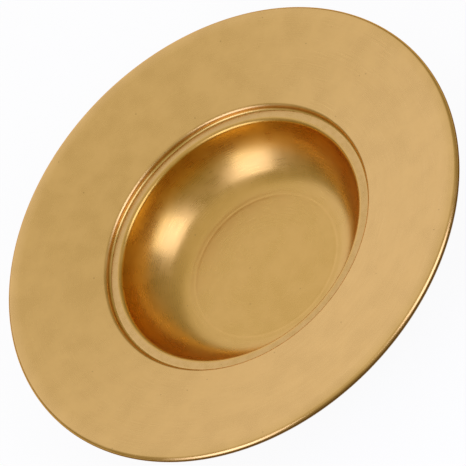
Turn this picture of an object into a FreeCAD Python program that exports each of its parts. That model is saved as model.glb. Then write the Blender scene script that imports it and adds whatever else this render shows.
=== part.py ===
"""Offering plate: a wide brass brim with a wired edge, and a deep round well seated in it.

Frame: millimetres, +Z up along the plate's axis of revolution, origin on the table at the
centre of the felt under the base. Every metal piece is a turned form, so each is one
outline in its body's XZ plane, revolved about Z. In an outline, x is a radius and y a height.
"""

import FreeCAD, Part
import math
import os

import Sketcher

SHEET = "Sizes"

# alias, value in millimetres, what it is
DRIVING_SIZES = (
    ("overall_diameter", 304.8, "across the wired edge"),
    ("rim_rise", 15.4, "from the top of the bowl's flange up to the top of the wired edge"),
    ("brim_sheet", 1.2, "thickness of the brim's brass sheet"),
    ("wire_diameter", 2.3, "the wire that the brim's edge is rolled around"),
    ("wire_play", 0.05, "gap all round between the wire and the roll"),
    ("roll_tuck", 0.6, "how far above the wire's middle the rolled sheet ends, on the inside"),
    ("brim_shoulder", 34.0, "radius of the upper face where the brim curves over into its edge"),
    ("step_rounding", 2.5, "radius of the upper face where the brim turns down into the step"),
    ("step_upright", 1.8, "from the top of the bowl's flange up to where the step's wall rounds over"),
    ("step_fillet", 1.7, "radius of the solder fillet between the bowl's flange and the step's wall"),
    ("seat_bend", 1.0, "inside radius between the step's wall and the seat"),
    ("seat_gap", 0.3, "gap between the seat's edge and the start of the bowl's mouth rounding"),
    ("bowl_sheet", 1.2, "thickness of the bowl's brass sheet"),
    ("mouth_diameter", 160.8, "across the bowl's mouth, inside its rounding"),
    ("flange_width", 7.2, "from the bowl's mouth out to its flange's edge, at the seat's bend"),
    ("mouth_rounding", 2.6, "radius of the upper face where the flange turns down into the wall"),
    ("well_depth", 35.1, "from the top of the bowl's flange down to its floor"),
    ("floor_diameter", 99.2, "across the flat of the bowl's floor"),
    ("foot_rounding", 24.0, "inside radius of the bowl where its floor turns up into its wall"),
    ("wall_rounding", 45.0, "inside radius of the bowl's wall, from there up to the mouth's rounding"),
    ("ring_inset", 1.2, "from the edge of the flat floor in to the middle of the raised ring"),
    ("ring_width", 1.6, "width of the raised ring on the floor"),
    ("ring_height", 0.3, "height of the raised ring above the floor"),
    ("solder_leg", 1.6, "reach of the solder fillet along the seat and down the bowl"),
    ("felt_thickness", 1.0, "felt under the base"),
    ("felt_margin", 3.4, "from the edge of the flat floor in to the edge of the felt"),
)


class Measure:
    """A number together with the spreadsheet formula that gives it."""

    def __init__(self, value, formula):
        self.value = value
        self.formula = formula

    def __float__(self):
        return self.value

    def combine(self, sign, other, value):
        term = other.formula if isinstance(other, Measure) else str(other)
        return Measure(value, f"({self.formula} {sign} {term})")

    def __add__(self, other):
        return self.combine("+", other, self.value + float(other))

    def __sub__(self, other):
        return self.combine("-", other, self.value - float(other))

    def __mul__(self, other):
        return self.combine("*", other, self.value * float(other))

    def __truediv__(self, other):
        return self.combine("/", other, self.value / float(other))

    def root(self):
        return Measure(math.sqrt(self.value), f"sqrt({self.formula})")


class Sizes:
    """The driving sizes by name, and the radii and levels that several pieces share."""

    def __init__(self):
        for alias, value, _ in DRIVING_SIZES:
            setattr(self, alias, Measure(value, f"{SHEET}.{alias}"))
        self.wire_radius = self.wire_diameter / 2
        self.roll_radius = self.wire_radius + self.wire_play + self.brim_sheet
        self.edge_radius = self.overall_diameter / 2 - self.roll_radius
        self.mouth_radius = self.mouth_diameter / 2
        self.flat_radius = self.floor_diameter / 2
        self.flange_radius = self.mouth_radius + self.flange_width
        self.flange_start = self.mouth_radius + self.mouth_rounding
        self.seat_edge = self.flange_start + self.seat_gap
        self.step_radius = self.flange_radius + self.seat_bend
        self.floor_level = self.felt_thickness + self.bowl_sheet
        self.flange_level = self.floor_level + self.well_depth
        self.seat_level = self.flange_level - self.bowl_sheet
        self.seat_underside = self.seat_level - self.brim_sheet
        self.mouth_level = self.flange_level - self.mouth_rounding
        self.edge_level = self.flange_level + self.rim_rise - self.roll_radius
        self.foot_level = self.floor_level + self.foot_rounding
        self.wall_centre = self.find_wall_centre()

    def find_wall_centre(self):
        """Gives the radius and level of the centre of the bowl's wall.

        Its circle holds the foot's circle and touches the mouth's from outside, so the distances
        from its centre to theirs are known, and the three centres make a triangle.
        """
        across = self.flange_start - self.flat_radius
        up = self.mouth_level - self.foot_level
        to_foot = self.wall_rounding - self.foot_rounding
        to_mouth = self.wall_rounding + self.mouth_rounding
        base = across * across + up * up
        along = (to_foot * to_foot + base - to_mouth * to_mouth) / 2 / base
        aside = (to_foot * to_foot / base - along * along).root()
        radius = self.flat_radius + along * across - aside * up
        return radius, self.foot_level + along * up + aside * across


class Outline:
    """A closed chain of lines and arcs in one of a body's planes, sized by sheet formulas."""

    def __init__(self, body, name, plane="XZ_Plane"):
        support = next(item for item in body.Origin.OriginFeatures if item.Role == plane)
        self.sketch = body.newObject("Sketcher::SketchObject", name)
        self.sketch.AttachmentSupport = [(support, "")]
        self.sketch.MapMode = "FlatFace"

    def line(self, start, end):
        """Adds a line between two (x, y) points. An edge is its number, first and last ends."""
        ends = [FreeCAD.Vector(float(x), float(y), 0) for x, y in (start, end)]
        return self.sketch.addGeometry(Part.LineSegment(*ends), False), 1, 2

    def arc(self, centre, radius, start, end):
        """Adds an arc from start to end in degrees, clockwise where the end is the smaller."""
        low, high = sorted((math.radians(start), math.radians(end)))
        edge = Part.ArcOfCircle(self.circle_at(centre, radius), low, high)
        number = self.sketch.addGeometry(edge, False)
        return (number, 2, 1) if end < start else (number, 1, 2)

    def circle(self, centre, radius):
        """Adds a full circle and gives its number."""
        return self.sketch.addGeometry(self.circle_at(centre, radius), False)

    def circle_at(self, centre, radius):
        middle = FreeCAD.Vector(float(centre[0]), float(centre[1]), 0)
        return Part.Circle(middle, FreeCAD.Vector(0, 0, 1), float(radius))

    def close(self, edges, corners):
        """Joins the edges in a ring: a corner after each edge in corners, smoothly elsewhere."""
        for edge, following in zip(edges, edges[1:] + edges[:1]):
            kind = "Coincident" if edge in corners else "Tangent"
            self.rule(kind, edge[0], edge[2], following[0], following[1])

    def rule(self, kind, *references):
        """Adds a geometric constraint."""
        self.sketch.addConstraint(Sketcher.Constraint(kind, *references))

    def each(self, kind, *edges):
        """Adds the same geometric constraint to each edge."""
        for edge in edges:
            self.rule(kind, edge[0])

    def concentric(self, *pairs):
        """Gives both arcs of each pair one centre."""
        for first, second in pairs:
            self.rule("Coincident", first[0], 3, second[0], 3)

    def size(self, kind, name, measure, *references):
        """Adds a dimension and binds it to the measure's formula."""
        number = self.sketch.addConstraint(Sketcher.Constraint(kind, *references, float(measure)))
        self.sketch.renameConstraint(number, name)
        self.sketch.setExpression(f"Constraints.{name}", measure.formula)

    def place(self, name, number, point, radius=None, level=None):
        """Sets how far a point lies from the axis, how high above the table, or both."""
        if radius is not None:
            self.size("DistanceX", f"{name}_radius", radius, -1, 1, number, point)
        if level is not None:
            self.size("DistanceY", f"{name}_level", level, -1, 1, number, point)


def direction(start, end):
    """Gives the way from one (x, y) point to another, in degrees from straight outwards."""
    return math.degrees(math.atan2(float(end[1] - start[1]), float(end[0] - start[0])))


def new_body(doc, label):
    """Makes a body whose Label names its file."""
    body = doc.addObject("PartDesign::Body", f"{label}_body")
    body.Label = label
    return body


def revolve(body, outline, name):
    """Turns an outline a full circle about Z."""
    feature = body.newObject("PartDesign::Revolution", name)
    feature.Profile = outline.sketch
    feature.ReferenceAxis = (outline.sketch, ["V_Axis"])
    feature.Angle = 360
    return body


def make_sheet(doc):
    """Writes the driving sizes into the document's spreadsheet."""
    sheet = doc.addObject("Spreadsheet::Sheet", SHEET)
    for row, (alias, value, note) in enumerate(DRIVING_SIZES, start=1):
        sheet.set(f"A{row}", alias.replace("_", " "))
        sheet.set(f"B{row}", str(value))
        sheet.setAlias(f"B{row}", alias)
        sheet.set(f"C{row}", note)


def make_brim(doc, s):
    """Spun brim: a seat for the bowl, a step up, a shallow cone, and an edge rolled under.

    The outline runs out along the upper face, round the roll, and back along the underside,
    which stays one sheet thickness from the upper face all the way.
    """
    body = new_body(doc, "brim")
    outline = Outline(body, "brim_outline")
    bend = (s.flange_radius, s.seat_level + s.seat_bend)
    step = (s.step_radius + s.step_rounding, s.flange_level + s.step_upright)
    shoulder = (s.edge_radius, s.edge_level + s.roll_radius - s.brim_shoulder)
    wire = (s.edge_radius, s.edge_level)

    # The cone is the straight line that touches both the step's rounding and the shoulder.
    run, drop = float(shoulder[0]) - float(step[0]), float(step[1]) - float(shoulder[1])
    growth = float(s.brim_shoulder) - float(s.step_rounding)
    slope = math.asin(growth / math.hypot(run, drop)) - math.atan2(drop, run)
    normal = 90 + math.degrees(slope)
    tuck = math.asin(float(s.roll_tuck) / float(s.roll_radius))
    roll_end = -180 - math.degrees(tuck)

    def around(centre, radius, degrees):
        """Point at a distance and direction from a centre."""
        turn = math.radians(degrees)
        reach = float(radius)
        return float(centre[0]) + reach * math.cos(turn), float(centre[1]) + reach * math.sin(turn)

    step_under = s.step_rounding - s.brim_sheet
    shoulder_under = s.brim_shoulder - s.brim_sheet
    roll_inside = s.roll_radius - s.brim_sheet
    bend_under = s.seat_bend + s.brim_sheet
    seat_top = outline.line((s.seat_edge, s.seat_level), around(bend, s.seat_bend, -90))
    bend_in = outline.arc(bend, s.seat_bend, -90, 0)
    wall_in = outline.line(around(bend, s.seat_bend, 0), around(step, s.step_rounding, 180))
    step_out = outline.arc(step, s.step_rounding, 180, normal)
    cone_top = outline.line(around(step, s.step_rounding, normal),
                            around(shoulder, s.brim_shoulder, normal))
    shoulder_out = outline.arc(shoulder, s.brim_shoulder, normal, 90)
    roll_out = outline.arc(wire, s.roll_radius, 90, roll_end)
    roll_lip = outline.line(around(wire, s.roll_radius, roll_end), around(wire, roll_inside, roll_end))
    roll_in = outline.arc(wire, roll_inside, roll_end, 90)
    shoulder_in = outline.arc(shoulder, shoulder_under, 90, normal)
    cone_base = outline.line(around(shoulder, shoulder_under, normal), around(step, step_under, normal))
    step_in = outline.arc(step, step_under, normal, 180)
    wall_out = outline.line(around(step, step_under, 180), around(bend, bend_under, 0))
    bend_out = outline.arc(bend, bend_under, 0, -90)
    seat_base = outline.line(around(bend, bend_under, -90), (s.seat_edge, s.seat_underside))
    seat_end = outline.line((s.seat_edge, s.seat_underside), (s.seat_edge, s.seat_level))
    outline.close(
        [seat_top, bend_in, wall_in, step_out, cone_top, shoulder_out, roll_out, roll_lip,
         roll_in, shoulder_in, cone_base, step_in, wall_out, bend_out, seat_base, seat_end],
        corners=[roll_out, roll_lip, seat_base, seat_end],
    )
    outline.each("Horizontal", seat_top, seat_base)
    outline.each("Vertical", wall_in, wall_out, seat_end)
    outline.rule("Parallel", cone_top[0], cone_base[0])
    outline.rule("PointOnObject", roll_out[0], 3, roll_lip[0])
    outline.concentric((bend_in, bend_out), (step_out, step_in),
                       (shoulder_out, shoulder_in), (roll_out, roll_in))

    outline.size("Distance", "sheet", s.brim_sheet, seat_end[0])
    outline.size("Radius", "seat_bend", s.seat_bend, bend_in[0])
    outline.size("Radius", "step_rounding", s.step_rounding, step_out[0])
    outline.size("Radius", "shoulder", s.brim_shoulder, shoulder_out[0])
    outline.size("Radius", "roll", s.roll_radius, roll_out[0])
    outline.size("DistanceY", "roll_tuck", s.roll_tuck, roll_out[0], 3, *roll_lip[:2])
    outline.place("seat", seat_end[0], 2, radius=s.seat_edge, level=s.seat_level)
    outline.place("wall", wall_in[0], 1, radius=s.step_radius)
    outline.place("step", step_out[0], 3, level=step[1])
    outline.place("shoulder_centre", shoulder_out[0], 3, radius=s.edge_radius)
    outline.place("wire", roll_out[0], 3, radius=s.edge_radius, level=s.edge_level)
    return revolve(body, outline, "brim_spinning")


def make_rim_wire(doc, s):
    """Wire ring inside the brim's rolled edge, which stiffens it."""
    body = new_body(doc, "rim_wire")
    outline = Outline(body, "wire_outline")
    section = outline.circle((s.edge_radius, s.edge_level), s.wire_radius)
    outline.size("Radius", "section", s.wire_radius, section)
    outline.place("wire", section, 3, radius=s.edge_radius, level=s.edge_level)
    return revolve(body, outline, "wire_ring")


def make_bowl(doc, s):
    """Spun bowl: a flat floor with a fine raised ring, a wall of two arcs, and a flat flange.

    The outline runs out along the inside, over the flange, and back along the outside.
    """
    body = new_body(doc, "bowl")
    outline = Outline(body, "bowl_outline")
    ring_radius = s.flat_radius - s.ring_inset
    ring_start = ring_radius - s.ring_width / 2
    ring_end = ring_radius + s.ring_width / 2
    # A chord of the ring's width with the ring's height above it belongs to this circle.
    ring_curve = s.ring_width * s.ring_width / 8 / s.ring_height + s.ring_height / 2
    ring = (ring_radius, s.floor_level + s.ring_height - ring_curve)
    ring_half = math.degrees(math.asin(float(s.ring_width) / 2 / float(ring_curve)))
    foot = (s.flat_radius, s.foot_level)
    wall = s.wall_centre
    mouth = (s.flange_start, s.mouth_level)
    mouth_under = s.mouth_rounding - s.bowl_sheet
    foot_turn, mouth_turn = direction(wall, foot), direction(wall, mouth)
    base_level = s.floor_level - s.bowl_sheet

    floor_top = outline.line((0, s.floor_level), (ring_start, s.floor_level))
    ring_top = outline.arc(ring, ring_curve, 90 + ring_half, 90 - ring_half)
    floor_rim = outline.line((ring_end, s.floor_level), (s.flat_radius, s.floor_level))
    foot_in = outline.arc(foot, s.foot_rounding, -90, foot_turn)
    wall_in = outline.arc(wall, s.wall_rounding, foot_turn, mouth_turn)
    mouth_out = outline.arc(mouth, s.mouth_rounding, 180 + mouth_turn, 90)
    flange_top = outline.line((s.flange_start, s.flange_level), (s.flange_radius, s.flange_level))
    flange_end = outline.line((s.flange_radius, s.flange_level), (s.flange_radius, s.seat_level))
    flange_base = outline.line((s.flange_radius, s.seat_level), (s.flange_start, s.seat_level))
    mouth_in = outline.arc(mouth, mouth_under, 90, 180 + mouth_turn)
    wall_out = outline.arc(wall, s.wall_rounding + s.bowl_sheet, mouth_turn, foot_turn)
    foot_out = outline.arc(foot, s.foot_rounding + s.bowl_sheet, foot_turn, -90)
    floor_base = outline.line((s.flat_radius, base_level), (0, base_level))
    axis = outline.line((0, base_level), (0, s.floor_level))
    outline.close(
        [floor_top, ring_top, floor_rim, foot_in, wall_in, mouth_out, flange_top, flange_end,
         flange_base, mouth_in, wall_out, foot_out, floor_base, axis],
        corners=[floor_top, ring_top, flange_top, flange_end, floor_base, axis],
    )
    outline.each("Horizontal", floor_top, floor_rim, flange_top, flange_base, floor_base)
    outline.each("Vertical", flange_end, axis)
    outline.rule("PointOnObject", floor_top[0], 1, -2)
    outline.rule("Horizontal", floor_top[0], 2, floor_rim[0], 1)
    outline.concentric((foot_in, foot_out), (wall_in, wall_out), (mouth_out, mouth_in))

    outline.size("Distance", "sheet", s.bowl_sheet, axis[0])
    outline.size("Radius", "ring_curve", ring_curve, ring_top[0])
    outline.size("Radius", "foot_rounding", s.foot_rounding, foot_in[0])
    outline.size("Radius", "wall_rounding", s.wall_rounding, wall_in[0])
    outline.size("Radius", "mouth_rounding", s.mouth_rounding, mouth_out[0])
    outline.place("ring_start", floor_top[0], 2, radius=ring_start, level=s.floor_level)
    outline.place("ring_end", floor_rim[0], 1, radius=ring_end)
    outline.place("foot", floor_rim[0], 2, radius=s.flat_radius)
    outline.place("mouth", mouth_out[0], 3, radius=s.flange_start)
    outline.place("flange", flange_top[0], 2, radius=s.flange_radius, level=s.flange_level)
    return revolve(body, outline, "bowl_spinning")


def make_step_solder(doc, s):
    """Ring of solder over the joint: it fills the seat's bend and rises from it in a fillet."""
    body = new_body(doc, "step_solder")
    outline = Outline(body, "fillet_outline")
    centre = (s.step_radius - s.step_fillet, s.flange_level + s.step_fillet)
    bend = (s.flange_radius, s.seat_level + s.seat_bend)

    fillet = outline.arc(centre, s.step_fillet, -90, 0)
    on_wall = outline.line((s.step_radius, centre[1]), (s.step_radius, bend[1]))
    in_bend = outline.arc(bend, s.seat_bend, 0, -90)
    beside_flange = outline.line((s.flange_radius, s.seat_level), (s.flange_radius, s.flange_level))
    on_flange = outline.line((s.flange_radius, s.flange_level), (centre[0], s.flange_level))
    outline.close(
        [fillet, on_wall, in_bend, beside_flange, on_flange],
        corners=[in_bend, beside_flange],
    )
    outline.each("Horizontal", on_flange)
    outline.each("Vertical", on_wall, beside_flange)

    outline.size("Radius", "fillet", s.step_fillet, fillet[0])
    outline.size("Radius", "bend", s.seat_bend, in_bend[0])
    outline.place("bend", in_bend[0], 3, radius=s.flange_radius, level=bend[1])
    outline.place("flange", beside_flange[0], 2, radius=s.flange_radius, level=s.flange_level)
    return revolve(body, outline, "fillet_ring")


def make_seat_solder(doc, s):
    """Ring of solder under the joint: it fills the gap at the seat's edge and makes a fillet."""
    body = new_body(doc, "seat_solder")
    outline = Outline(body, "solder_outline")
    mouth = (s.flange_start, s.mouth_level)
    fillet_foot = s.seat_underside - s.solder_leg
    fillet_reach = s.seat_edge + s.solder_leg
    wall, outside = s.wall_centre, float(s.wall_rounding + s.bowl_sheet)
    mouth_turn = direction(wall, mouth)
    foot_turn = math.degrees(math.asin(float(fillet_foot - wall[1]) / outside))
    wall_reach = float(wall[0]) + outside * math.cos(math.radians(foot_turn))

    beside_seat = outline.line((s.seat_edge, s.seat_underside), (s.seat_edge, s.seat_level))
    under_flange = outline.line((s.seat_edge, s.seat_level), (s.flange_start, s.seat_level))
    under_mouth = outline.arc(mouth, s.mouth_rounding - s.bowl_sheet, 90, 180 + mouth_turn)
    down_wall = outline.arc(wall, outside, mouth_turn, foot_turn)
    fillet = outline.line((wall_reach, fillet_foot), (fillet_reach, s.seat_underside))
    under_seat = outline.line((fillet_reach, s.seat_underside), (s.seat_edge, s.seat_underside))
    outline.close(
        [beside_seat, under_flange, under_mouth, down_wall, fillet, under_seat],
        corners=[beside_seat, down_wall, fillet, under_seat],
    )
    outline.each("Horizontal", under_flange, under_seat)
    outline.each("Vertical", beside_seat)

    outline.size("Radius", "under_mouth", s.mouth_rounding - s.bowl_sheet, under_mouth[0])
    outline.place("seat", beside_seat[0], 1, radius=s.seat_edge, level=s.seat_underside)
    outline.place("flange", under_mouth[0], 3, radius=s.flange_start, level=s.mouth_level)
    outline.place("wall", down_wall[0], 3, radius=wall[0], level=wall[1])
    outline.place("fillet_reach", fillet[0], 2, radius=fillet_reach)
    outline.place("fillet_foot", fillet[0], 1, level=fillet_foot)
    return revolve(body, outline, "solder_ring")


def make_base_felt(doc, s):
    """Felt disc glued under the floor, which the plate stands on."""
    body = new_body(doc, "base_felt")
    outline = Outline(body, "felt_outline", plane="XY_Plane")
    felt_radius = s.flat_radius - s.felt_margin
    disc = outline.circle((0, 0), felt_radius)
    outline.rule("Coincident", disc, 3, -1, 1)
    outline.size("Radius", "felt_radius", felt_radius, disc)
    pad = body.newObject("PartDesign::Pad", "felt_disc")
    pad.Profile = outline.sketch
    pad.Length = float(s.felt_thickness)
    pad.setExpression("Length", s.felt_thickness.formula)
    return body


def check(doc, bodies):
    """Stops if any object failed to compute or any piece isn't one sound solid."""
    failed = [item.Name for item in doc.Objects if {"Invalid", "Error"} & set(item.State)]
    loose = [item.Name for item in doc.Objects
             if item.TypeId == "Sketcher::SketchObject" and item.solve() != 0]
    unsound = [body.Label for body in bodies
               if body.Shape.isNull() or not body.Shape.isValid() or len(body.Shape.Solids) != 1]
    if failed or loose or unsound:
        raise RuntimeError(f"failed {failed}, unsolved sketches {loose}, unsound {unsound}")


def main():
    doc = FreeCAD.newDocument("offering_plate")
    make_sheet(doc)
    doc.recompute()
    sizes = Sizes()
    makers = (make_brim, make_rim_wire, make_bowl, make_step_solder, make_seat_solder, make_base_felt)
    bodies = [make(doc, sizes) for make in makers]
    doc.recompute()
    check(doc, bodies)
    os.makedirs("parts", exist_ok=True)
    for body in bodies:
        box = body.Shape.optimalBoundingBox(False, False)
        print(f"{body.Label}: {body.Shape.Volume / 1000:.2f} cm3, "
              f"{box.XLength:.2f} across, {box.ZMin:.2f} to {box.ZMax:.2f} high")
        body.Shape.exportStep(f"parts/{body.Label}.step")


main()
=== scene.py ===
"""Looks of a turned brass offering plate: wired brim, round well, solder, felt, and studio.

Every length is in metres, in the frame's own axes: +Z up along the plate's axis, the origin
on the table under the middle of the base.
"""

import logging
import math
from dataclasses import dataclass
from enum import Enum

import bpy
import numpy as np
from mathutils import Matrix, Vector


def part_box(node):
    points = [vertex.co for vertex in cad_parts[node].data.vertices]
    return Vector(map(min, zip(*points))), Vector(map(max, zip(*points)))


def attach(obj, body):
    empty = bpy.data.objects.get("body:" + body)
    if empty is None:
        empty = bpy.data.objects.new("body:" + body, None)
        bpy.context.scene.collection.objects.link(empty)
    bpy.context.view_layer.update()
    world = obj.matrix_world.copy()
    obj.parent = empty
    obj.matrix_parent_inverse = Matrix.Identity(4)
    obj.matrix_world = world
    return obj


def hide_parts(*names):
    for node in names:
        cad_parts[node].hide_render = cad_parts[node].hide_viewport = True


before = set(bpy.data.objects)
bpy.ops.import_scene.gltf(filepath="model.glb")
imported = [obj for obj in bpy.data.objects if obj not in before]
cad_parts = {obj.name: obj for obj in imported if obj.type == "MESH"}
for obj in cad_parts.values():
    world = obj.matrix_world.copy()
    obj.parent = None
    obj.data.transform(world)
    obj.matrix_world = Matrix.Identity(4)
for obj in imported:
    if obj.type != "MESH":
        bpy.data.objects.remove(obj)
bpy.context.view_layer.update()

LOG = logging.getLogger("offering_plate")
BODY = "root"
TURN = 2 * math.pi
STEPS_ROUND = 384
CREASE = math.radians(38)
OUTWARD, UPWARD, INWARD, DOWNWARD = 0, 90, 180, -90
MIX_INPUTS, MIX_RESULT = (0, 6, 7), 2
TURNING_REACH = 0.004
LACQUER_IOR = 1.5

Point = tuple[float, float]
Colour = tuple[float, float, float]
Stops = tuple[tuple[float, Colour], ...]

NEVER_HANDLED: Point = (0.2, 0.3)


class Side(Enum):
    """Which of a turned piece's finishes a stretch of its outline takes."""

    SHOWN = 0
    UNDER = 1
    FLANGE = 2


@dataclass(frozen=True)
class Extent:
    """How far a turned CAD node reaches from the axis, and its lowest and highest levels."""

    radius: float
    low: float
    high: float

    @classmethod
    def of(cls, node: str) -> "Extent":
        """Reads a node's extent from the frame.

        Args:
            node: The CAD node's name.

        Returns:
            Its radius and levels.
        """
        lowest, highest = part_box(node)
        return cls(highest.x, lowest.z, highest.z)


class Outline:
    """The half section of a turned piece, as stretches of points that run once around it.

    Directions in it are in degrees from straight outwards, turning towards straight up.
    """

    def __init__(self) -> None:
        """Starts an empty outline."""
        self.stretches: list[np.ndarray] = []
        self.sides: list[np.ndarray] = []

    def line(self, start: Point, end: Point, rows: int, side: Side = Side.SHOWN) -> None:
        """Adds a straight stretch: start + share * (end - start), without its last point.

        Args:
            start: Radius and height where it begins.
            end: Radius and height where it ends.
            rows: How many rows of faces it gets.
            side: The finish it takes.
        """
        share = np.linspace(0.0, 1.0, rows, endpoint=False)[:, None]
        self._add(np.array(start) + share * (np.array(end) - np.array(start)), side)

    def arc(self, centre: Point, radius: float, start: float, end: float, rows: int,
            side: Side = Side.SHOWN) -> None:
        """Adds a round stretch: centre + radius * (cos a, sin a), without its last point.

        Args:
            centre: Radius and height of the arc's centre.
            radius: The arc's own radius.
            start: Where it begins, in degrees from straight outwards.
            end: Where it ends; smaller than start where it runs clockwise.
            rows: How many rows of faces it gets.
            side: The finish it takes.
        """
        angle = np.radians(np.linspace(start, end, rows, endpoint=False))
        ways = np.stack([np.cos(angle), np.sin(angle)], axis=1)
        self._add(np.array(centre) + radius * ways, side)

    def ripple(self, start: float, end: float, height: float) -> None:
        """Adds a shallow groove and a low crest to the points so far between two radii.

        With x going once round from start to end, the lift is -height * sin x * (1 - cos x).

        Args:
            start: Radius where the groove begins.
            end: Radius where the crest ends.
            height: Depth of the groove a quarter of the way along, and height of the crest
                three quarters of the way along.
        """
        for points in self.stretches:
            turn = TURN * np.clip((points[:, 0] - start) / (end - start), 0.0, 1.0)
            points[:, 1] -= height * np.sin(turn) * (1 - np.cos(turn))

    def finish_on_axis(self, level: float) -> None:
        """Adds the last point of an outline that begins and ends on the axis.

        Args:
            level: Height of that point.
        """
        self.stretches.append(np.array([[0.0, level]]))

    def points(self) -> np.ndarray:
        """Gives every point of the outline, as rows of radius and height."""
        return np.concatenate(self.stretches)

    def rows_sides(self) -> np.ndarray:
        """Gives the side of the row of faces after each point."""
        return np.concatenate(self.sides)

    def _add(self, points: np.ndarray, side: Side) -> None:
        """Keeps a stretch's points and the side of each of its rows."""
        self.stretches.append(points)
        self.sides.append(np.full(len(points), side.value, dtype=np.int32))


@dataclass(frozen=True)
class HandSpinning:
    """The faint unevenness that spinning by hand leaves in the brim, between step and edge.

    The lift at a point is depth * fade * (sum of share * cos(count * turn + phase)), with one
    term for each set of lobes. Fade rises from nothing at the step and falls to nothing again
    at the wired edge.
    """

    depth: float = 0.00004
    begins: float = 0.092
    full: float = 0.112
    ends: float = 0.147
    lobes: tuple[tuple[int, float, float], ...] = ((2, 1.0, 0.7), (5, 0.6, -1.1), (11, 0.4, 2.3))

    def lift(self, radius: np.ndarray, turn: np.ndarray) -> np.ndarray:
        """Works out how far each point is raised.

        Args:
            radius: Distance of each point from the axis.
            turn: Angle of each point about the axis.

        Returns:
            The lift of each point.
        """
        rise = np.clip((radius - self.begins) / (self.full - self.begins), 0.0, 1.0)
        fall = np.clip((self.ends - radius) / (self.ends - self.full), 0.0, 1.0)
        fade = rise * rise * (3 - 2 * rise) * fall * fall * (3 - 2 * fall)
        waves = sum(share * np.cos(count * turn + phase) for count, share, phase in self.lobes)
        return self.depth * fade * waves


UNEVENNESS = HandSpinning()


def direction(start: Point, end: Point) -> float:
    """Gives the way from one point of a section to another, in degrees from straight outwards."""
    return math.degrees(math.atan2(end[1] - start[1], end[0] - start[0]))


def turned_piece(name: str, outline: Outline,
                 finishes: list[bpy.types.Material]) -> bpy.types.Object:
    """Carries an outline round the plate's axis and makes the piece from it.

    The surface has two parameters: the place u along the outline, and the turn v about the
    axis. A point is (radius(u) cos v, radius(u) sin v, height(u) + lift(radius(u), v)). An
    outline that begins and ends on the axis is closed there by a fan of triangles at each end.

    Args:
        name: The piece's name.
        outline: Its half section, run so that the piece's material lies on the right of it.
        finishes: A material for each side.

    Returns:
        The new object, at the origin.
    """
    section = outline.points()
    on_axis = section[0, 0] == 0.0
    ring = section[1:-1] if on_axis else section
    rows, turn = len(ring), np.linspace(0.0, TURN, STEPS_ROUND, endpoint=False)
    radius, angle = np.broadcast_arrays(ring[:, :1], turn[None, :])
    height = ring[:, 1:] + UNEVENNESS.lift(radius, angle)
    grid = np.stack([radius * np.cos(angle), radius * np.sin(angle), height], axis=-1)
    grid = grid.reshape(-1, 3)

    this = np.arange(rows * STEPS_ROUND).reshape(rows, STEPS_ROUND)
    beside = np.roll(this, -1, axis=1)
    following = np.roll(this, -1, axis=0)
    quads = np.stack([this, following, np.roll(following, -1, axis=1), beside], axis=-1)
    sides = outline.rows_sides()
    if on_axis:
        poles = np.array([[0.0, 0.0, section[0, 1]], [0.0, 0.0, section[-1, 1]]])
        grid = np.concatenate([grid, poles])
        first, last = len(grid) - 2, len(grid) - 1
        start_fan = np.stack([np.full(STEPS_ROUND, first), this[0], beside[0]], axis=-1)
        end_fan = np.stack([this[-1], np.full(STEPS_ROUND, last), beside[-1]], axis=-1)
        faces = quads[:-1].reshape(-1, 4).tolist() + start_fan.tolist() + end_fan.tolist()
        face_sides = np.concatenate([
            np.repeat(sides[1:rows], STEPS_ROUND),
            np.full(STEPS_ROUND, sides[0]),
            np.full(STEPS_ROUND, sides[-1]),
        ])
    else:
        faces = quads.reshape(-1, 4).tolist()
        face_sides = np.repeat(sides, STEPS_ROUND)

    mesh = bpy.data.meshes.new(name)
    mesh.from_pydata(grid.tolist(), [], faces)
    for finish in finishes:
        mesh.materials.append(finish)
    mesh.polygons.foreach_set("material_index", face_sides.astype(np.int32))
    mesh.shade_smooth()
    mesh.set_sharp_from_angle(angle=CREASE)
    mesh.update()
    piece = bpy.data.objects.new(name, mesh)
    bpy.context.scene.collection.objects.link(piece)
    return piece


def stand_for(piece: bpy.types.Object, node: str) -> None:
    """Puts a piece in a CAD node's place, on the body that the node rides on.

    Args:
        piece: The new piece.
        node: The CAD node that it stands for.
    """
    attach(piece, BODY)
    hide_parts(node)
    LOG.info("%s: %d faces", piece.name, len(piece.data.polygons))


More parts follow.
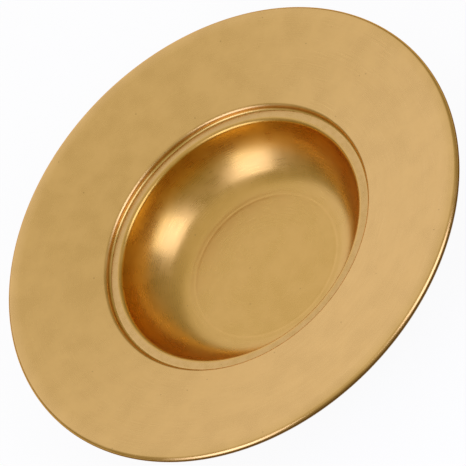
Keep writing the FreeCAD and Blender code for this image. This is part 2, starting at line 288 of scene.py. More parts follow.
class Graph:
    """A tree of shading nodes, with short ways to add nodes and join them up."""

    def __init__(self, tree: bpy.types.NodeTree) -> None:
        """Takes a tree to add to.

        Args:
            tree: The node tree.
        """
        self.tree = tree

    def join(self, source: bpy.types.NodeSocket, target: bpy.types.NodeSocket) -> None:
        """Joins an output to an input."""
        self.tree.links.new(source, target)

    def node(self, kind: str, inputs: dict[str | int, object],
             **settings: object) -> bpy.types.Node:
        """Adds a node.

        Args:
            kind: Its type, without the leading ShaderNode.
            inputs: A socket or a value for each of its inputs, by name or number.
            **settings: Its own properties.

        Returns:
            The node.
        """
        made = self.tree.nodes.new(f"ShaderNode{kind}")
        for name, value in settings.items():
            setattr(made, name, value)
        for key, value in inputs.items():
            if isinstance(value, bpy.types.NodeSocket):
                self.join(value, made.inputs[key])
            else:
                made.inputs[key].default_value = value
        return made

    def math(self, operation: str, first: object, second: object = 0.0) -> bpy.types.NodeSocket:
        """Gives the result of one sum on one or two numbers."""
        return self.node("Math", {0: first, 1: second}, operation=operation).outputs[0]

    def vector(self, operation: str, first: object, second: object = (0.0,) * 3,
               third: object = (0.0,) * 3) -> bpy.types.NodeSocket:
        """Gives the result of one sum on up to three vectors."""
        made = self.node("VectorMath", {0: first, 1: second, 2: third}, operation=operation)
        return made.outputs["Value" if operation in ("LENGTH", "DOT_PRODUCT") else "Vector"]

    def band(self, value: object, low: float, high: float,
             start: float = 0.0, end: float = 1.0) -> bpy.types.NodeSocket:
        """Carries a number smoothly from start to end as it goes from low to high."""
        inputs = {"Value": value, "From Min": low, "From Max": high, "To Min": start, "To Max": end}
        return self.node("MapRange", inputs, interpolation_type="SMOOTHSTEP").outputs["Result"]

    def ramp(self, value: object, stops: Stops) -> bpy.types.NodeSocket:
        """Gives a colour that follows a number through the stops.

        Args:
            value: The number, or the socket that gives it.
            stops: Places from 0 to 1, and the colour at each.

        Returns:
            The colour's socket.
        """
        made = self.node("ValToRGB", {"Fac": value})
        ends = made.color_ramp.elements
        while len(ends) < len(stops):
            ends.new(0.5)
        for end, (position, colour) in zip(ends, stops):
            end.position, end.color = position, (*colour, 1.0)
        return made.outputs["Color"]

    def tone(self, value: object, shares: Point, dark: Colour,
             light: Colour) -> bpy.types.NodeSocket:
        """Gives a colour that goes from dark to light as a number goes between two shares."""
        return self.ramp(value, tuple(zip(shares, (dark, light))))

    def blend(self, kind: str, share: object, first: object,
              second: object) -> bpy.types.NodeSocket:
        """Blends two colours by a share; the node has like-named sockets, so they go by number."""
        inputs = dict(zip(MIX_INPUTS, (share, first, second)))
        return self.node("Mix", inputs, data_type="RGBA", blend_type=kind).outputs[MIX_RESULT]


class Shader(Graph):
    """A material of one Principled shader, and the nodes that feed it."""

    def __init__(self, name: str) -> None:
        """Makes the material.

        Args:
            name: Its name.
        """
        self.material = bpy.data.materials.new(name)
        self.material.use_nodes = True
        super().__init__(self.material.node_tree)
        self.surface = self.tree.nodes["Principled BSDF"]

    def set(self, **sockets: float | Colour) -> None:
        """Sets the shader's own sockets.

        Args:
            **sockets: Socket names, with _ for a space, and their values.
        """
        for name, value in sockets.items():
            socket = self.surface.inputs[name.replace("_", " ")]
            socket.default_value = (*value, 1.0) if isinstance(value, tuple) else value

    def feed(self, name: str, source: bpy.types.NodeSocket) -> None:
        """Joins a node's output to one of the shader's sockets."""
        self.join(source, self.surface.inputs[name])

    def place(self) -> bpy.types.NodeSocket:
        """Gives the point's place in the piece's own frame."""
        return self.node("TexCoord", {}).outputs["Object"]

    def noise(self, where: bpy.types.NodeSocket, size: float,
              detail: float) -> bpy.types.NodeSocket:
        """Gives smooth noise whose lumps are about size metres apart."""
        made = self.node("TexNoise", {"Vector": where, "Scale": 1.0 / size, "Detail": detail})
        return made.outputs[0]

    def bump(self, height: object, depth: float,
             under: bpy.types.NodeSocket | None = None) -> bpy.types.NodeSocket:
        """Gives the normal of a relief, over another relief if one is given.

        Args:
            height: The relief, as a share of its depth.
            depth: How high it is, in metres.
            under: The normal of the relief that it lies on.

        Returns:
            The normal's socket.
        """
        inputs = {"Height": height, "Distance": depth, "Strength": 1.0}
        if under is not None:
            inputs["Normal"] = under
        return self.node("Bump", inputs).outputs["Normal"]


def around_axis(shader: Shader, where: bpy.types.NodeSocket) -> tuple[bpy.types.NodeSocket, ...]:
    """Gives a point's distance from the axis and a place that stretches marks round the axis.

    The stretched place is (cos turn, sin turn) * TURNING_REACH, with distance + height third,
    so noise on it varies slowly round the plate and quickly along its outline.

    Args:
        shader: The material that the nodes go in.
        where: The point's place.

    Returns:
        The distance and the stretched place.
    """
    flat = shader.vector("MULTIPLY", where, (1.0, 1.0, 0.0))
    distance = shader.vector("LENGTH", flat)
    level = shader.node("SeparateXYZ", {0: where}).outputs["Z"]
    along = shader.node("CombineXYZ", {"Z": shader.math("ADD", distance, level)}).outputs[0]
    towards = shader.vector("NORMALIZE", flat)
    return distance, shader.vector("MULTIPLY_ADD", towards, (TURNING_REACH,) * 3, along)


@dataclass(frozen=True)
class SatinBrass:
    """Brass that was turned, given a satin polish and mostly lacquered.

    Each band is a pair of levels or of distances from the axis. NEVER_HANDLED is a band that
    lies beyond the plate's edge.
    """

    name: str
    dark: Colour = (0.580, 0.337, 0.066)
    light: Colour = (0.643, 0.380, 0.083)
    roughness: float = 0.30
    roughness_spread: float = 0.05
    roughness_shares: Point = (0.55, 1.05)
    turning_share: float = 0.6
    handled: Point = (0.1502, 0.1524)
    handled_smoothness: float = 0.75
    mottle_size: float = 0.016
    mottle_shares: Point = (0.35, 0.65)
    grain_size: float = 0.0016
    grain_depth: float = 0.0000045
    turning_pitch: float = 0.0007
    turning_depth: float = 0.0000006
    speck_size: float = 0.011
    speck_edges: Point = (0.035, 0.05)
    speck_shade: float = 0.72
    lacquer: float = 1.0
    lacquer_roughness: float = 0.32
    edge_tint: Colour = (0.95, 0.72, 0.38)
    # Painted shade: by default a dark band on the wired edge's outer roll, standing in for the
    # shadowed floor that it reflects.
    painted_shade_levels: Point = (0.0520, 0.0509)
    painted_shade_radii: Point = (0.1495, 0.1500)
    painted_shade: Colour = (0.16, 0.12, 0.06)
    # Painted highlight: a brighter, paler ring at one distance from the axis; at radius 0 it lies
    # off every piece.
    painted_highlight_radius: float = 0.0
    painted_highlight_width: float = 0.0014
    painted_highlight: Colour = (1.035, 1.035, 1.06)

    def material(self) -> bpy.types.Material:
        """Builds the finish: mottled colour, turning lines, grain, specks and any lacquer.

        Painted shade darkens the brass where the level and the distance from the axis both lie
        beyond their bands, a painted highlight makes it brighter and paler on one ring, and it is
        smoother where it is handled. Its edge tint keeps it golden where it is seen at a low angle.

        Returns:
            The material.
        """
        shader = Shader(self.name)
        where = shader.place()
        distance, stretched = around_axis(shader, where)
        level = shader.node("SeparateXYZ", {0: where}).outputs["Z"]
        mottle = shader.noise(where, self.mottle_size, detail=4.0)
        turning = shader.noise(stretched, self.turning_pitch, detail=1.0)
        grain = shader.noise(where, self.grain_size, detail=1.5)

        speck = shader.node("TexVoronoi", {"Vector": where, "Scale": 1.0 / self.speck_size})
        specks = shader.band(speck.outputs["Distance"], *self.speck_edges, self.speck_shade, 1.0)
        shade = shader.tone(mottle, self.mottle_shares, self.dark, self.light)
        shade = shader.blend("MULTIPLY", 1.0, shade, specks)
        # Painted shade: the tone is multiplied by a darker colour where both bands are passed.
        high_enough = shader.band(level, *self.painted_shade_levels)
        far_enough = shader.band(distance, *self.painted_shade_radii)
        painted_shade_share = shader.math("MULTIPLY", high_enough, far_enough)
        shade = shader.blend("MULTIPLY", painted_shade_share, shade, (*self.painted_shade, 1.0))
        # Painted highlight: the tone is made brighter and paler on a narrow ring.
        off_ring = shader.math("ABSOLUTE", shader.math("SUBTRACT", distance, self.painted_highlight_radius))
        painted_highlight_ring = shader.band(off_ring, self.painted_highlight_width, 0.0)
        shade = shader.blend("MULTIPLY", painted_highlight_ring, shade, (*self.painted_highlight, 1.0))
        shader.feed("Base Color", shade)

        uneven = shader.math("ADD", mottle, shader.math("MULTIPLY", turning, self.turning_share))
        low, high = self.roughness - self.roughness_spread, self.roughness + self.roughness_spread
        satin = shader.band(uneven, *self.roughness_shares, low, high)
        rubbed = shader.band(distance, *self.handled, 1.0, self.handled_smoothness)
        shader.feed("Roughness", shader.math("MULTIPLY", satin, rubbed))
        lines = shader.bump(turning, self.turning_depth)
        shader.feed("Normal", shader.bump(grain, self.grain_depth, lines))
        shader.set(Metallic=1.0, Specular_Tint=self.edge_tint, Coat_Weight=self.lacquer,
                   Coat_Roughness=self.lacquer_roughness, Coat_IOR=LACQUER_IOR)
        return shader.material


@dataclass(frozen=True)
class SpunBrass:
    """The underside's brass as it left the lathe: ringed by the tool, browner and duller."""

    name: str
    dark: Colour = (0.150, 0.080, 0.022)
    light: Colour = (0.330, 0.190, 0.055)
    ring_pitch: float = 0.0016
    ring_depth: float = 0.00002
    ring_share: float = 0.4
    stain_size: float = 0.030
    stain_share: float = 0.6
    age_shares: Point = (0.36, 0.62)
    roughness: Point = (0.52, 0.36)
    roughness_shares: Point = (0.3, 0.7)
    lacquer: float = 0.4
    lacquer_roughness: float = 0.4

    def material(self) -> bpy.types.Material:
        """Builds the finish: tool rings, and a patina that lies in lumps and in the grooves.

        Returns:
            The material.
        """
        shader = Shader(self.name)
        where = shader.place()
        _, stretched = around_axis(shader, where)
        rings = shader.noise(stretched, self.ring_pitch, detail=2.0)
        stain = shader.noise(where, self.stain_size, detail=5.0)
        ringed = shader.math("MULTIPLY", rings, self.ring_share)
        stained = shader.math("MULTIPLY", stain, self.stain_share)
        age = shader.math("ADD", ringed, stained)
        shader.feed("Base Color", shader.tone(age, self.age_shares, self.dark, self.light))
        shader.feed("Roughness", shader.band(age, *self.roughness_shares, *self.roughness))
        shader.feed("Normal", shader.bump(rings, self.ring_depth))
        shader.set(Metallic=1.0, Coat_Weight=self.lacquer, Coat_Roughness=self.lacquer_roughness)
        return shader.material


@dataclass(frozen=True)
class WipedSolder:
    """Soft solder, wiped while it set: grey, a little lumpy, with dull and bright patches."""

    name: str
    dark: Colour = (0.30, 0.29, 0.27)
    light: Colour = (0.56, 0.55, 0.52)
    lump_size: float = 0.004
    lump_depth: float = 0.00012
    oxide_size: float = 0.012
    oxide_shares: Point = (0.4, 0.6)
    roughness: Point = (0.5, 0.34)
    roughness_shares: Point = (0.35, 0.65)

    def material(self) -> bpy.types.Material:
        """Builds the finish: patches of oxide, and lumps left by the wiping.

        Returns:
            The material.
        """
        shader = Shader(self.name)
        where = shader.place()
        lumps = shader.noise(where, self.lump_size, detail=3.0)
        oxide = shader.noise(where, self.oxide_size, detail=4.0)
        shader.feed("Base Color", shader.tone(oxide, self.oxide_shares, self.dark, self.light))
        shader.feed("Roughness", shader.band(oxide, *self.roughness_shares, *self.roughness))
        shader.feed("Normal", shader.bump(lumps, self.lump_depth))
        shader.set(Metallic=1.0)
        return shader.material


@dataclass(frozen=True)
class DrawnWire:
    """Galvanised wire, with the fine lines of the die along it."""

    name: str
    dark: Colour = (0.36, 0.37, 0.38)
    light: Colour = (0.56, 0.57, 0.58)
    line_pitch: float = 0.0002
    line_depth: float = 0.000006
    zinc_size: float = 0.003
    zinc_shares: Point = (0.4, 0.6)
    roughness: Point = (0.45, 0.3)
    roughness_shares: Point = (0.35, 0.65)

    def material(self) -> bpy.types.Material:
        """Builds the finish: die lines along the ring, and the zinc's pale patches.

        Returns:
            The material.
        """
        shader = Shader(self.name)
        where = shader.place()
        _, stretched = around_axis(shader, where)
        lines = shader.noise(stretched, self.line_pitch, detail=1.0)
        zinc = shader.noise(where, self.zinc_size, detail=3.0)
        shader.feed("Base Color", shader.tone(zinc, self.zinc_shares, self.dark, self.light))
        shader.feed("Roughness", shader.band(zinc, *self.roughness_shares, *self.roughness))
        shader.feed("Normal", shader.bump(lines, self.line_depth))
        shader.set(Metallic=1.0)
        return shader.material


@dataclass(frozen=True)
class WoolFelt:
    """Pressed wool felt: matt, with short fibres that lie every way."""

    name: str
    dark: Colour = (0.030, 0.003, 0.006)
    light: Colour = (0.105, 0.010, 0.020)
    fibre_size: float = 0.0006
    fibre_depth: float = 0.00012
    fibre_share: float = 0.75
    fibre_squeeze: float = 3.2
    bend_scale: float = 400.0
    bend_reach: float = 0.004
    cloud_size: float = 0.012
    tone_shares: Point = (0.36, 0.64)
    roughness: Point = (0.82, 1.0)
    roughness_shares: Point = (0.3, 0.7)
    sheen: float = 0.35
    sheen_roughness: float = 0.5

    def material(self) -> bpy.types.Material:
        """Builds the finish: bent fibres, slow shading, and a soft sheen.

        Returns:
            The material.
        """
        shader = Shader(self.name)
        where = shader.place()
        bends = {"Vector": where, "Scale": self.bend_scale, "Detail": 1.0}
        bent = shader.node("TexNoise", bends).outputs["Color"]
        swirl = shader.vector("MULTIPLY_ADD", bent, (self.bend_reach,) * 3, where)
        squeeze = shader.node("Mapping", {"Vector": swirl, "Scale": (1.0, self.fibre_squeeze, 1.0)})
        fibres = shader.noise(squeeze.outputs[0], self.fibre_size, detail=4.0)
        clouds = shader.noise(where, self.cloud_size, detail=2.0)
        fibre_tone = shader.math("MULTIPLY", fibres, self.fibre_share)
        cloud_tone = shader.math("MULTIPLY", clouds, 1.0 - self.fibre_share)
        tone = shader.math("ADD", fibre_tone, cloud_tone)
        shader.feed("Base Color", shader.tone(tone, self.tone_shares, self.dark, self.light))
        shader.feed("Roughness", shader.band(fibres, *self.roughness_shares, *self.roughness))
        shader.feed("Normal", shader.bump(fibres, self.fibre_depth))
        shader.set(Metallic=0.0, Sheen_Weight=self.sheen, Sheen_Roughness=self.sheen_roughness)
        return shader.material


@dataclass
class WiredBrim:
    """The spun brim: a seat for the well, a step, a shallow cone, and an edge with a wire in it."""

    sheet: float = 0.0012
    wire_play: float = 0.00005
    roll_tuck: float = 0.0006
    shoulder: float = 0.034
    step_rounding: float = 0.0025
    step_upright: float = 0.0018
    polish_ends: float = -8.0

    def build(self, joint: "Joint") -> None:
        """Makes the brim and dresses it and the wire.

        Args:
            joint: Where the well's flange and the step's wall meet.
        """
        # The default painted shade darkens the outer roll of the wired edge, standing in for the
        # shadowed floor it reflects.
        brass = SatinBrass(
            "brim_satin_brass",
            dark=(0.598, 0.367, 0.116),
            light=(0.662, 0.413, 0.134),
            lacquer=0.0,
            edge_tint=(0.95, 0.62, 0.35),
        ).material()
        under = SpunBrass("brim_spun_brass").material()
        piece = turned_piece("brim_sheet", self.outline(joint), [brass, under])
        stand_for(piece, "brim")
        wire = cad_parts["rim_wire"]
        wire.data.materials.clear()
        wire.data.materials.append(DrawnWire("drawn_wire").material())
        LOG.info("rim_wire: dressed")

    def outline(self, joint: "Joint") -> Outline:
        """Draws the brim's half section, out along its face and back along its underside.

        Args:
            joint: Where the well's flange and the step's wall meet.

        Returns:
            The outline.
        """
        brim, wire = Extent.of("brim"), Extent.of("rim_wire")
        wire_radius = (wire.high - wire.low) / 2
        roll = wire_radius + self.wire_play + self.sheet
        edge = (wire.radius - wire_radius, wire.low + wire_radius)
        seat_level = brim.low + self.sheet
        bend = (joint.step_radius - joint.seat_bend, seat_level + joint.seat_bend)
        seat_edge = joint.flange_start + joint.seat_gap
        step = (joint.step_radius + self.step_rounding, joint.flange_level + self.step_upright)
        shoulder = (edge[0], edge[1] + roll - self.shoulder)
        run, drop = shoulder[0] - step[0], step[1] - shoulder[1]
        slope = math.asin((self.shoulder - self.step_rounding) / math.hypot(run, drop))
        normal = UPWARD + math.degrees(slope - math.atan2(drop, run))
        lip = -INWARD - math.degrees(math.asin(self.roll_tuck / roll))

        def at(centre: Point, radius: float, degrees: float) -> Point:
            """Gives the point at a distance and direction from a centre."""
            turn = math.radians(degrees)
            return centre[0] + radius * math.cos(turn), centre[1] + radius * math.sin(turn)

        under_step, under_shoulder = self.step_rounding - self.sheet, self.shoulder - self.sheet
        under_bend, inside_roll = joint.seat_bend + self.sheet, roll - self.sheet
        cone = at(step, self.step_rounding, normal), at(shoulder, self.shoulder, normal)
        under_cone = at(shoulder, under_shoulder, normal), at(step, under_step, normal)
        under_wall = at(step, under_step, INWARD), at(bend, under_bend, OUTWARD)
        made = Outline()
        made.line((seat_edge, seat_level), at(bend, joint.seat_bend, DOWNWARD), rows=4)
        made.arc(bend, joint.seat_bend, DOWNWARD, OUTWARD, rows=8)
        made.line(at(bend, joint.seat_bend, OUTWARD), at(step, self.step_rounding, INWARD), rows=4)
        made.arc(step, self.step_rounding, INWARD, normal, rows=18)
        made.line(*cone, rows=40)
        made.arc(shoulder, self.shoulder, normal, UPWARD, rows=16)
        made.arc(edge, roll, UPWARD, self.polish_ends, rows=22)
        made.arc(edge, roll, self.polish_ends, lip, rows=30, side=Side.UNDER)
        made.line(at(edge, roll, lip), at(edge, inside_roll, lip), rows=2, side=Side.UNDER)
        made.arc(edge, inside_roll, lip, UPWARD, rows=32, side=Side.UNDER)
        made.arc(shoulder, under_shoulder, UPWARD, normal, rows=14, side=Side.UNDER)
        made.line(*under_cone, rows=36, side=Side.UNDER)
        made.arc(step, under_step, normal, INWARD, rows=8, side=Side.UNDER)
        made.line(*under_wall, rows=3, side=Side.UNDER)
        made.arc(bend, under_bend, OUTWARD, DOWNWARD, rows=10, side=Side.UNDER)
        made.line(at(bend, under_bend, DOWNWARD), (seat_edge, brim.low), rows=4, side=Side.UNDER)
        made.line((seat_edge, brim.low), (seat_edge, seat_level), rows=2, side=Side.UNDER)
        return made


@dataclass
class Well:
    """The spun bowl: a flat floor with a faint ring, a wall of two arcs and a flat flange."""

    sheet: float = 0.0012
    mouth_radius: float = 0.0804
    mouth_rounding: float = 0.0026
    floor_radius: float = 0.0496
    foot_rounding: float = 0.024
    wall_rounding: float = 0.045
    ring_start: float = 0.0462
    ring_end: float = 0.0524
    ring_height: float = 0.00003
    ring_crest: float = 0.0489
    flange_easing: float = 0.0007
    easing_ends: float = 60.0
    flange_inset: float = 0.0010
    flange_groove: float = 0.0002

    @property
    def mouth(self) -> Point:
        """Radius and height of the centre of the mouth's rounding."""
        return self.mouth_radius + self.mouth_rounding, Extent.of("bowl").high - self.mouth_rounding

    @property
    def foot(self) -> Point:
        """Radius and height of the centre of the foot's rounding."""
        return self.floor_radius, Extent.of("bowl").low + self.sheet + self.foot_rounding

    @property
    def wall(self) -> Point:
        """Radius and height of the centre of the wall's rounding.

        The wall's circle holds the foot's and touches the mouth's, so its centre is at known
        distances from theirs: along the line between them, then square to that line.

        Returns:
            The radius and height.
        """
        across, up = self.mouth[0] - self.foot[0], self.mouth[1] - self.foot[1]
        to_foot = self.wall_rounding - self.foot_rounding
        to_mouth = self.wall_rounding + self.mouth_rounding
        base = across * across + up * up
        along = (to_foot**2 + base - to_mouth**2) / 2 / base
        aside = math.sqrt(to_foot**2 / base - along * along)
        radius = self.foot[0] + along * across - aside * up
        return radius, self.foot[1] + along * up + aside * across

    @property
    def flange_toe(self) -> float:
        """Distance from the axis of the fine groove between the flange and the solder over it."""
        return Extent.of("step_solder").radius - self.flange_inset

    def build(self) -> None:
        """Makes the bowl and dresses it."""
        brass = SatinBrass(
            "well_satin_brass",
            dark=(0.558, 0.324, 0.070),
            light=(0.618, 0.365, 0.087),
            handled=NEVER_HANDLED,
            grain_depth=0.000004,
            lacquer=0.4,
            # Painted shade: a deeper, browner tone up the wall towards the mouth, where reflections
            # inside the bowl are dark.
            painted_shade_levels=(0.010, 0.031),
            painted_shade_radii=(0.0818, 0.0802),
            painted_shade=(0.97, 0.95, 0.36),
            # Painted highlight on the crest of the floor's faint ring.
            painted_highlight_radius=self.ring_crest,
            painted_highlight_width=0.0012,
            painted_highlight=(1.06, 1.06, 1.11),
        ).material()
        flange = SatinBrass(
            "flange_filed_brass",
            dark=(0.545, 0.320, 0.078),
            light=(0.612, 0.368, 0.104),
            handled=NEVER_HANDLED,
            mottle_size=0.004,
            grain_size=0.0012,
            speck_size=0.007,
            lacquer=0.7,
            # Painted highlight along the toe of the flange's fine groove.
            painted_highlight_radius=self.flange_toe,
            painted_highlight_width=0.0013,
            painted_highlight=(1.16, 1.17, 1.24),
        ).material()
        under = SpunBrass("well_spun_brass").material()
        piece = turned_piece("well_bowl", self.outline(), [brass, under, flange])
        stand_for(piece, "bowl")

    def outline(self) -> Outline:
        """Draws the bowl's half section, out along its inside and back along its outside.

        Returns:
            The outline.
        """
        bowl = Extent.of("bowl")
        floor = bowl.low + self.sheet
        foot, wall, mouth = self.foot, self.wall, self.mouth
        foot_turn, mouth_turn = direction(wall, foot), direction(wall, mouth)
        under_foot = self.foot_rounding + self.sheet
        under_wall = self.wall_rounding + self.sheet
        under_mouth = self.mouth_rounding - self.sheet
        toe, groove = self.flange_toe, bowl.high - self.flange_groove
        eased = (toe - self.flange_easing / 2, bowl.high - self.flange_easing)
        lip = eased[1] + self.flange_easing * math.sin(math.radians(self.easing_ends))
        under_flange = bowl.high - self.sheet
        made = Outline()
        made.line((0.0, floor), (self.ring_start, floor), rows=10)
        made.line((self.ring_start, floor), (foot[0], floor), rows=14)
        made.arc(foot, self.foot_rounding, DOWNWARD, foot_turn, rows=64)
        made.ripple(self.ring_start, self.ring_end, self.ring_height)
        made.arc(wall, self.wall_rounding, foot_turn, mouth_turn, rows=44)
        made.arc(mouth, self.mouth_rounding, INWARD + mouth_turn, UPWARD, rows=18)
        made.line((mouth[0], bowl.high), (eased[0], bowl.high), rows=5, side=Side.FLANGE)
        made.arc(eased, self.flange_easing, UPWARD, self.easing_ends, rows=6, side=Side.FLANGE)
        made.line((toe, lip), (toe, groove), rows=1, side=Side.FLANGE)
        made.line((toe, groove), (bowl.radius, groove), rows=2, side=Side.FLANGE)
        made.line((bowl.radius, groove), (bowl.radius, under_flange), rows=2, side=Side.UNDER)
        made.line((bowl.radius, under_flange), (mouth[0], under_flange), rows=5, side=Side.UNDER)
        made.arc(mouth, under_mouth, UPWARD, INWARD + mouth_turn, rows=8, side=Side.UNDER)
        made.arc(wall, under_wall, mouth_turn, foot_turn, rows=28, side=Side.UNDER)
        made.arc(foot, under_foot, foot_turn, DOWNWARD, rows=18, side=Side.UNDER)
        made.line((foot[0], bowl.low), (0.0, bowl.low), rows=14, side=Side.UNDER)
        made.finish_on_axis(bowl.low)
        return made


@dataclass
class Joint:
    """The soldered joint of well and brim: a filed ring over it and a wiped ring under it."""

    well: Well
    seat_bend: float = 0.001
    seat_gap: float = 0.0003
    fillet: float = 0.0017
    toe_gap: float = 0.00006
    toe_turn: float = -70.0

    @property
    def flange_level(self) -> float:
        """Height of the top of the well's flange."""
        return Extent.of("bowl").high

    @property
    def flange_radius(self) -> float:
        """Distance of the flange's edge from the axis."""
        return Extent.of("bowl").radius

    @property
    def flange_start(self) -> float:
        """Distance from the axis at which the flange becomes flat."""
        return self.well.mouth_radius + self.well.mouth_rounding

    @property
    def step_radius(self) -> float:
        """Distance of the step's wall from the axis."""
        return Extent.of("step_solder").radius

    def build(self) -> None:
        """Makes both rings of solder and dresses them."""
        gilt = SatinBrass(
            "filed_fillet_brass",
            dark=(0.575, 0.365, 0.080),
            light=(0.640, 0.408, 0.100),
            handled=NEVER_HANDLED,
            lacquer=0.5,
        ).material()
        fillet = turned_piece("filed_fillet", self.fillet_outline(), [gilt])
        stand_for(fillet, "step_solder")
        grey = WipedSolder("wiped_solder").material()
        seam = turned_piece("wiped_seam", self.seam_outline(), [grey])
        stand_for(seam, "seat_solder")

    def fillet_outline(self) -> Outline:
        """Draws the ring over the joint: hollow above, and filling the seat's bend below.

        Its hollow starts at a small ridge, from which it falls to a toe in the flange's groove.

        Returns:
            The outline.
        """
        solder = Extent.of("step_solder")
        centre = (solder.radius - self.fillet, solder.high)
        bend = (self.flange_radius, solder.low + self.seat_bend)
        groove = self.flange_level - self.well.flange_groove
        toe = (self.well.flange_toe + self.toe_gap, groove)
        start = math.radians(self.toe_turn)
        ridge = (
            centre[0] + self.fillet * math.cos(start),
            centre[1] + self.fillet * math.sin(start),
        )
        made = Outline()
        made.line(toe, ridge, rows=4)
        made.arc(centre, self.fillet, self.toe_turn, OUTWARD, rows=20)
        made.line((solder.radius, solder.high), (solder.radius, bend[1]), rows=4)
        made.arc(bend, self.seat_bend, OUTWARD, DOWNWARD, rows=8)
        made.line((self.flange_radius, solder.low), (self.flange_radius, groove), rows=3)
        made.line((self.flange_radius, groove), toe, rows=3)
        return made

    def seam_outline(self) -> Outline:
        """Draws the ring under the joint: a fillet from the seat down to the well's wall.

        Returns:
            The outline.
        """
        seam = Extent.of("seat_solder")
        brim = Extent.of("brim")
        well = self.well
        seat_edge = self.flange_start + self.seat_gap
        wall, mouth, outside = well.wall, well.mouth, well.wall_rounding + well.sheet
        mouth_turn = direction(wall, mouth)
        lowest = math.asin((seam.low - wall[1]) / outside)
        made = Outline()
        made.line((seat_edge, brim.low), (seat_edge, seam.high), rows=3)
        made.line((seat_edge, seam.high), (self.flange_start, seam.high), rows=2)
        made.arc(mouth, well.mouth_rounding - well.sheet, UPWARD, INWARD + mouth_turn, rows=8)
        made.arc(wall, outside, mouth_turn, math.degrees(lowest), rows=3)
        made.line((wall[0] + outside * math.cos(lowest), seam.low), (seam.radius, brim.low), rows=8)
        made.line((seam.radius, brim.low), (seat_edge, brim.low), rows=3)
        return made


@dataclass
class Base:
    """The felt disc that the plate stands on, with a cut edge that is slightly rubbed over."""

    edge_rounding: float = 0.0003

    def build(self) -> None:
        felt = Extent.of("base_felt")
        piece = turned_piece("felt_disc", self.outline(felt), [WoolFelt("wool_felt").material()])
        stand_for(piece, "base_felt")

    def outline(self, felt: Extent) -> Outline:
        """Draws the disc's half section, out along its top and back along its underside.

        Args:
            felt: How far the disc reaches, and its levels.

        Returns:
            The outline.
        """
        soft = self.edge_rounding
        rim = felt.radius - soft
        made = Outline()
        made.line((0.0, felt.high), (rim, felt.high), rows=10)
        made.arc((rim, felt.high - soft), soft, UPWARD, OUTWARD, rows=5)
        made.line((felt.radius, felt.high - soft), (felt.radius, felt.low + soft), rows=2)
        made.arc((rim, felt.low + soft), soft, OUTWARD, DOWNWARD, rows=5)
        made.line((rim, felt.low), (0.0, felt.low), rows=10)
        made.finish_on_axis(felt.low)
        return made


@dataclass(frozen=True)
class Softbox:
    """An upright soft light that faces a point of the plate."""

    name: str
    towards: tuple[float, float, float]
    distance: float = 1.25
    size: Point = (0.72, 0.98)
    power: float = 5.0
    colour: Colour = (0.94, 1.03, 1.92)

    def place(self, aim: Vector) -> None:
        """Adds the light to the scene.

        Args:
            aim: The point that it faces.
        """
        light = bpy.data.lights.new(self.name, "AREA")
        light.shape, light.energy, light.color = "RECTANGLE", self.power, self.colour
        light.size, light.size_y = self.size
        lamp = bpy.data.objects.new(self.name, light)
        direction = Vector(self.towards).normalized()
        lamp.location = aim + direction * self.distance
        lamp.rotation_mode = "QUATERNION"
        lamp.rotation_quaternion = direction.to_track_quat("Z", "Y")
        lamp.visible_camera = False
        bpy.context.scene.collection.objects.link(lamp)


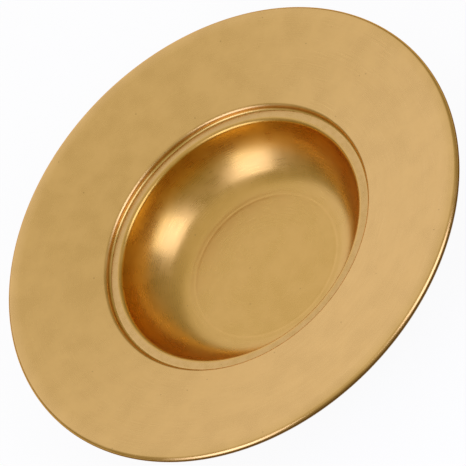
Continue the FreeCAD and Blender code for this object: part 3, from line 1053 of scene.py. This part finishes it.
@dataclass
class Studio:
    """A pale floor, a room that is lighter beyond the plate, two soft lights and a camera."""

    floor_reach: float = 40.0
    floor_level: float = -0.00005
    floor_white: float = 0.92
    floor_glow: float = 0.93
    floor_roughness: float = 0.9
    floor_specular: float = 0.1
    aim_above_wire: float = 0.00115
    camera_tilt: float = 42.4
    camera_roll: float = -46.0
    camera_distance: float = 1.8288
    focal_length: float = 237.87
    sensor: float = 36.0
    shift: Point = (0.01373, -0.01223)
    clip: Point = (0.1, 100.0)
    bright_side: tuple[float, float, float] = (-0.33, 0.944, 0.0)
    sweep_side: tuple[float, float, float] = (-0.05, 1.0, 0.0)
    sweep_edges: Point = (56.0, 29.0)
    narrowing_level: float = 0.60
    narrowing: float = 2.2
    room_strength: float = 1.9
    sweep_tones: Stops = (
        (0.10, (0.80, 0.79, 0.77)),
        (0.33, (0.86, 0.855, 0.84)),
        (0.57, (0.97, 0.99, 1.13)),
        (0.68, (1.03, 1.06, 1.32)),
        (0.76, (1.08, 1.12, 1.45)),
        (0.86, (1.15, 1.21, 1.65)),
        (1.00, (1.20, 1.27, 1.80)),
    )
    room_tones: Stops = (
        (0.15, (0.38, 0.32, 0.16)),
        (0.50, (0.46, 0.41, 0.28)),
        (0.80, (0.54, 0.51, 0.40)),
        (0.97, (0.78, 0.76, 0.72)),
    )
    softboxes: tuple[Softbox, ...] = (
        Softbox("softbox_right", (0.545, -0.640, 0.540)),
        Softbox("softbox_left", (-0.768, -0.438, 0.468)),
    )

    def build(self) -> None:
        """Makes the floor, the light and the camera."""
        aim = Vector((0.0, 0.0, Extent.of("rim_wire").low + self.aim_above_wire))
        self.floor()
        self.room()
        for softbox in self.softboxes:
            softbox.place(aim)
        self.camera(aim)
        bpy.context.scene.view_settings.view_transform = "Standard"

    def floor(self) -> None:
        """Makes a plain pale floor that keeps the plate's shadow.

        Seen straight, in metal or through glass, it glows by a share floor_glow of full white,
        and the rest of it is lit and shaded as paper is.
        """
        mesh = bpy.data.meshes.new("studio_floor")
        corners = np.array([(-1, -1, 0), (1, -1, 0), (1, 1, 0), (-1, 1, 0)]) * self.floor_reach
        corners[:, 2] = self.floor_level
        mesh.from_pydata(corners.tolist(), [], [(0, 1, 2, 3)])
        shader = Shader("studio_paper")
        seen = shader.node("LightPath", {}).outputs
        shown = shader.math("MAXIMUM", seen["Is Camera Ray"], seen["Is Glossy Ray"])
        shown = shader.math("MAXIMUM", shown, seen["Is Transmission Ray"])
        share = shader.math("MULTIPLY", shown, self.floor_glow)
        glow = shader.node("Emission", {"Strength": 1.0}).outputs[0]
        mix = shader.node("MixShader", {0: share, 1: shader.surface.outputs[0], 2: glow})
        shader.join(mix.outputs[0], shader.tree.nodes["Material Output"].inputs["Surface"])
        shader.set(Base_Color=(self.floor_white,) * 3, Roughness=self.floor_roughness,
                   Specular_IOR_Level=self.floor_specular)
        mesh.materials.append(shader.material)
        floor = bpy.data.objects.new("studio_floor", mesh)
        bpy.context.scene.collection.objects.link(floor)

    def room(self) -> None:
        """Lights the plate from all round, most from the pale sweep of paper beyond it.

        The sweep hangs on one side, is brighter the lower it is, and narrows below a level; the
        rest of the room is dim, and dimmest low down.
        """
        world = bpy.data.worlds.new("studio_room")
        world.use_nodes = True
        bpy.context.scene.world = world
        graph = Graph(world.node_tree)
        background = world.node_tree.nodes["Background"]
        way = graph.node("TexCoord", {}).outputs["Generated"]
        parts = graph.node("SeparateXYZ", {0: way}).outputs
        upward = parts["Z"]
        level_way = graph.vector("NORMALIZE", graph.vector("MULTIPLY", way, (1.0, 1.0, 0.0)))
        towards = graph.vector("DOT_PRODUCT", way, Vector(self.bright_side).normalized())
        sideways = graph.vector("DOT_PRODUCT", level_way, Vector(self.sweep_side).normalized())
        beneath = graph.math("MAXIMUM", graph.math("SUBTRACT", self.narrowing_level, upward), 0.0)
        lost = graph.math("MULTIPLY", graph.math("ABSOLUTE", parts["X"]), beneath)
        sideways = graph.math("SUBTRACT", sideways, graph.math("MULTIPLY", lost, self.narrowing))
        edges = (math.cos(math.radians(turn)) for turn in self.sweep_edges)
        sweep = graph.ramp(towards, self.shaded(self.sweep_tones))
        room = graph.ramp(upward, self.shaded(self.room_tones))
        tone = graph.blend("MIX", graph.band(sideways, *edges), room, sweep)
        graph.join(tone, background.inputs["Color"])
        background.inputs["Strength"].default_value = self.room_strength

    def shaded(self, tones: Stops) -> Stops:
        """Gives the same stops as shares of the room's full strength."""
        full = self.room_strength
        return tuple((place, tuple(level / full for level in colour)) for place, colour in tones)

    def camera(self, aim: Vector) -> None:
        """Places the camera on a long lens, tilted from straight above and rolled to one side.

        Args:
            aim: The point that it looks at.
        """
        tilt = math.radians(self.camera_tilt)
        back = Vector((0.0, -math.sin(tilt), math.cos(tilt)))
        right = Vector((1.0, 0.0, 0.0))
        level = Matrix((right, back.cross(right), back)).transposed().to_4x4()
        data = bpy.data.cameras.new("studio_camera")
        data.lens, data.sensor_width = self.focal_length, self.sensor
        data.shift_x, data.shift_y = self.shift
        data.clip_start, data.clip_end = self.clip
        camera = bpy.data.objects.new("studio_camera", data)
        roll = Matrix.Rotation(math.radians(self.camera_roll), 4, "Z")
        camera.matrix_world = Matrix.Translation(aim + back * self.camera_distance) @ level @ roll
        bpy.context.scene.collection.objects.link(camera)
        bpy.context.scene.camera = camera


def main() -> None:
    """Builds the studio and then the plate, piece by piece."""
    logging.basicConfig(level=logging.INFO, format="%(name)s: %(message)s")
    Studio().build()
    well = Well()
    joint = Joint(well)
    WiredBrim().build(joint)
    well.build()
    joint.build()
    Base().build()


if __name__ == "__main__":
    main()
